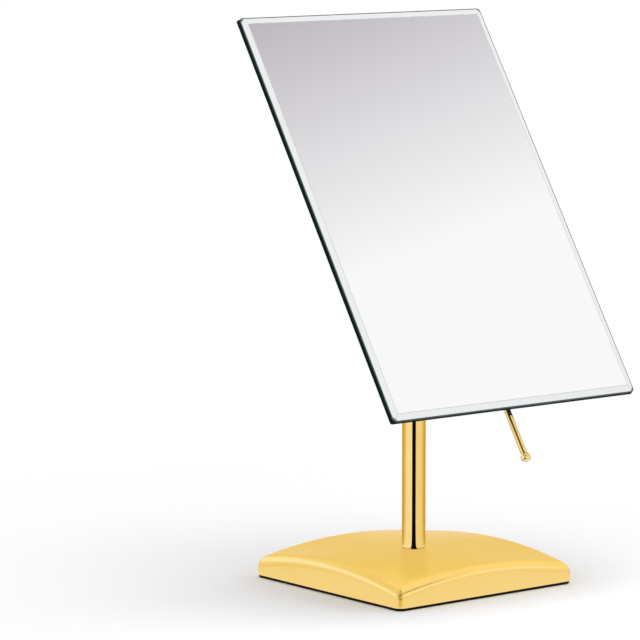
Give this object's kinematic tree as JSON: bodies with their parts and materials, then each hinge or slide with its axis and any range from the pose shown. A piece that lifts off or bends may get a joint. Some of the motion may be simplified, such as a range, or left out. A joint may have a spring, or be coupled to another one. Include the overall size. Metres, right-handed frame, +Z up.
{
  "type": "countertop mirror",
  "caption": "Frameless bevelled rectangular mirror on a gold post and domed square base, tilted on a friction hinge by a ball-ended lever below the glass.",
  "frame": {"origin": "centre of the base pad's underside, on the post's axis", "axes": "+Z up along the post; the mirror faces -Y and +X is to the right of someone looking into it"},
  "size_m": [0.21, 0.192, 0.3801],
  "materials": {
    "satin_gold": "gloss",
    "polished_gold": "polished",
    "mirror_glass": "polished",
    "black_plastic": "satin",
    "black_rubber": "matte",
    "foam_tape": "matte",
    "pale_nylon": "satin",
    "zinc_steel": "satin",
    "cement": "matte",
    "brass": "satin"
  },
  "bodies": {
    "stand": {"base_shell": "satin_gold", "base_pad": "black_rubber", "base_ballast": "cement", "post_bolt": "zinc_steel", "post_bolt_washer": "zinc_steel", "post_bolt_lock_washer": "zinc_steel", "post_lower_insert": "zinc_steel", "post_tube": "polished_gold", "post_upper_bush": "pale_nylon"},
    "head": {"swivel_washer": "pale_nylon", "swivel_head": "polished_gold", "swivel_retaining_washer": "zinc_steel", "swivel_retaining_screw": "zinc_steel", "hinge_bush": "brass", "friction_washer_left": "pale_nylon", "friction_washer_right": "pale_nylon"},
    "mirror": {"hinge_bracket": "satin_gold", "hinge_bolt": "polished_gold", "hinge_disc_spring": "zinc_steel", "hinge_nut": "polished_gold", "bracket_screw_1": "zinc_steel", "bracket_screw_2": "zinc_steel", "bracket_screw_3": "zinc_steel", "bracket_screw_4": "zinc_steel", "back_panel": "black_plastic", "mounting_tape_left": "foam_tape", "mounting_tape_right": "foam_tape", "mounting_tape_top": "foam_tape", "mounting_tape_bottom": "foam_tape", "mirror_glass": "mirror_glass", "tilt_lever": "polished_gold", "lever_ball": "polished_gold", "lever_lock_nut": "polished_gold"}
  },
  "joints": [
    {"name": "head_swivel", "type": "hinge", "parent": "stand", "child": "head", "pos_m": [0, 0, 0.216], "axis": [0, 0, 1], "continuous": true},
    {"name": "mirror_tilt", "type": "hinge", "parent": "head", "child": "mirror", "pos_m": [0, 0, 0.24], "axis": [-1, 0, 0], "range_deg": [-32.6, 57.4]}
  ]
}
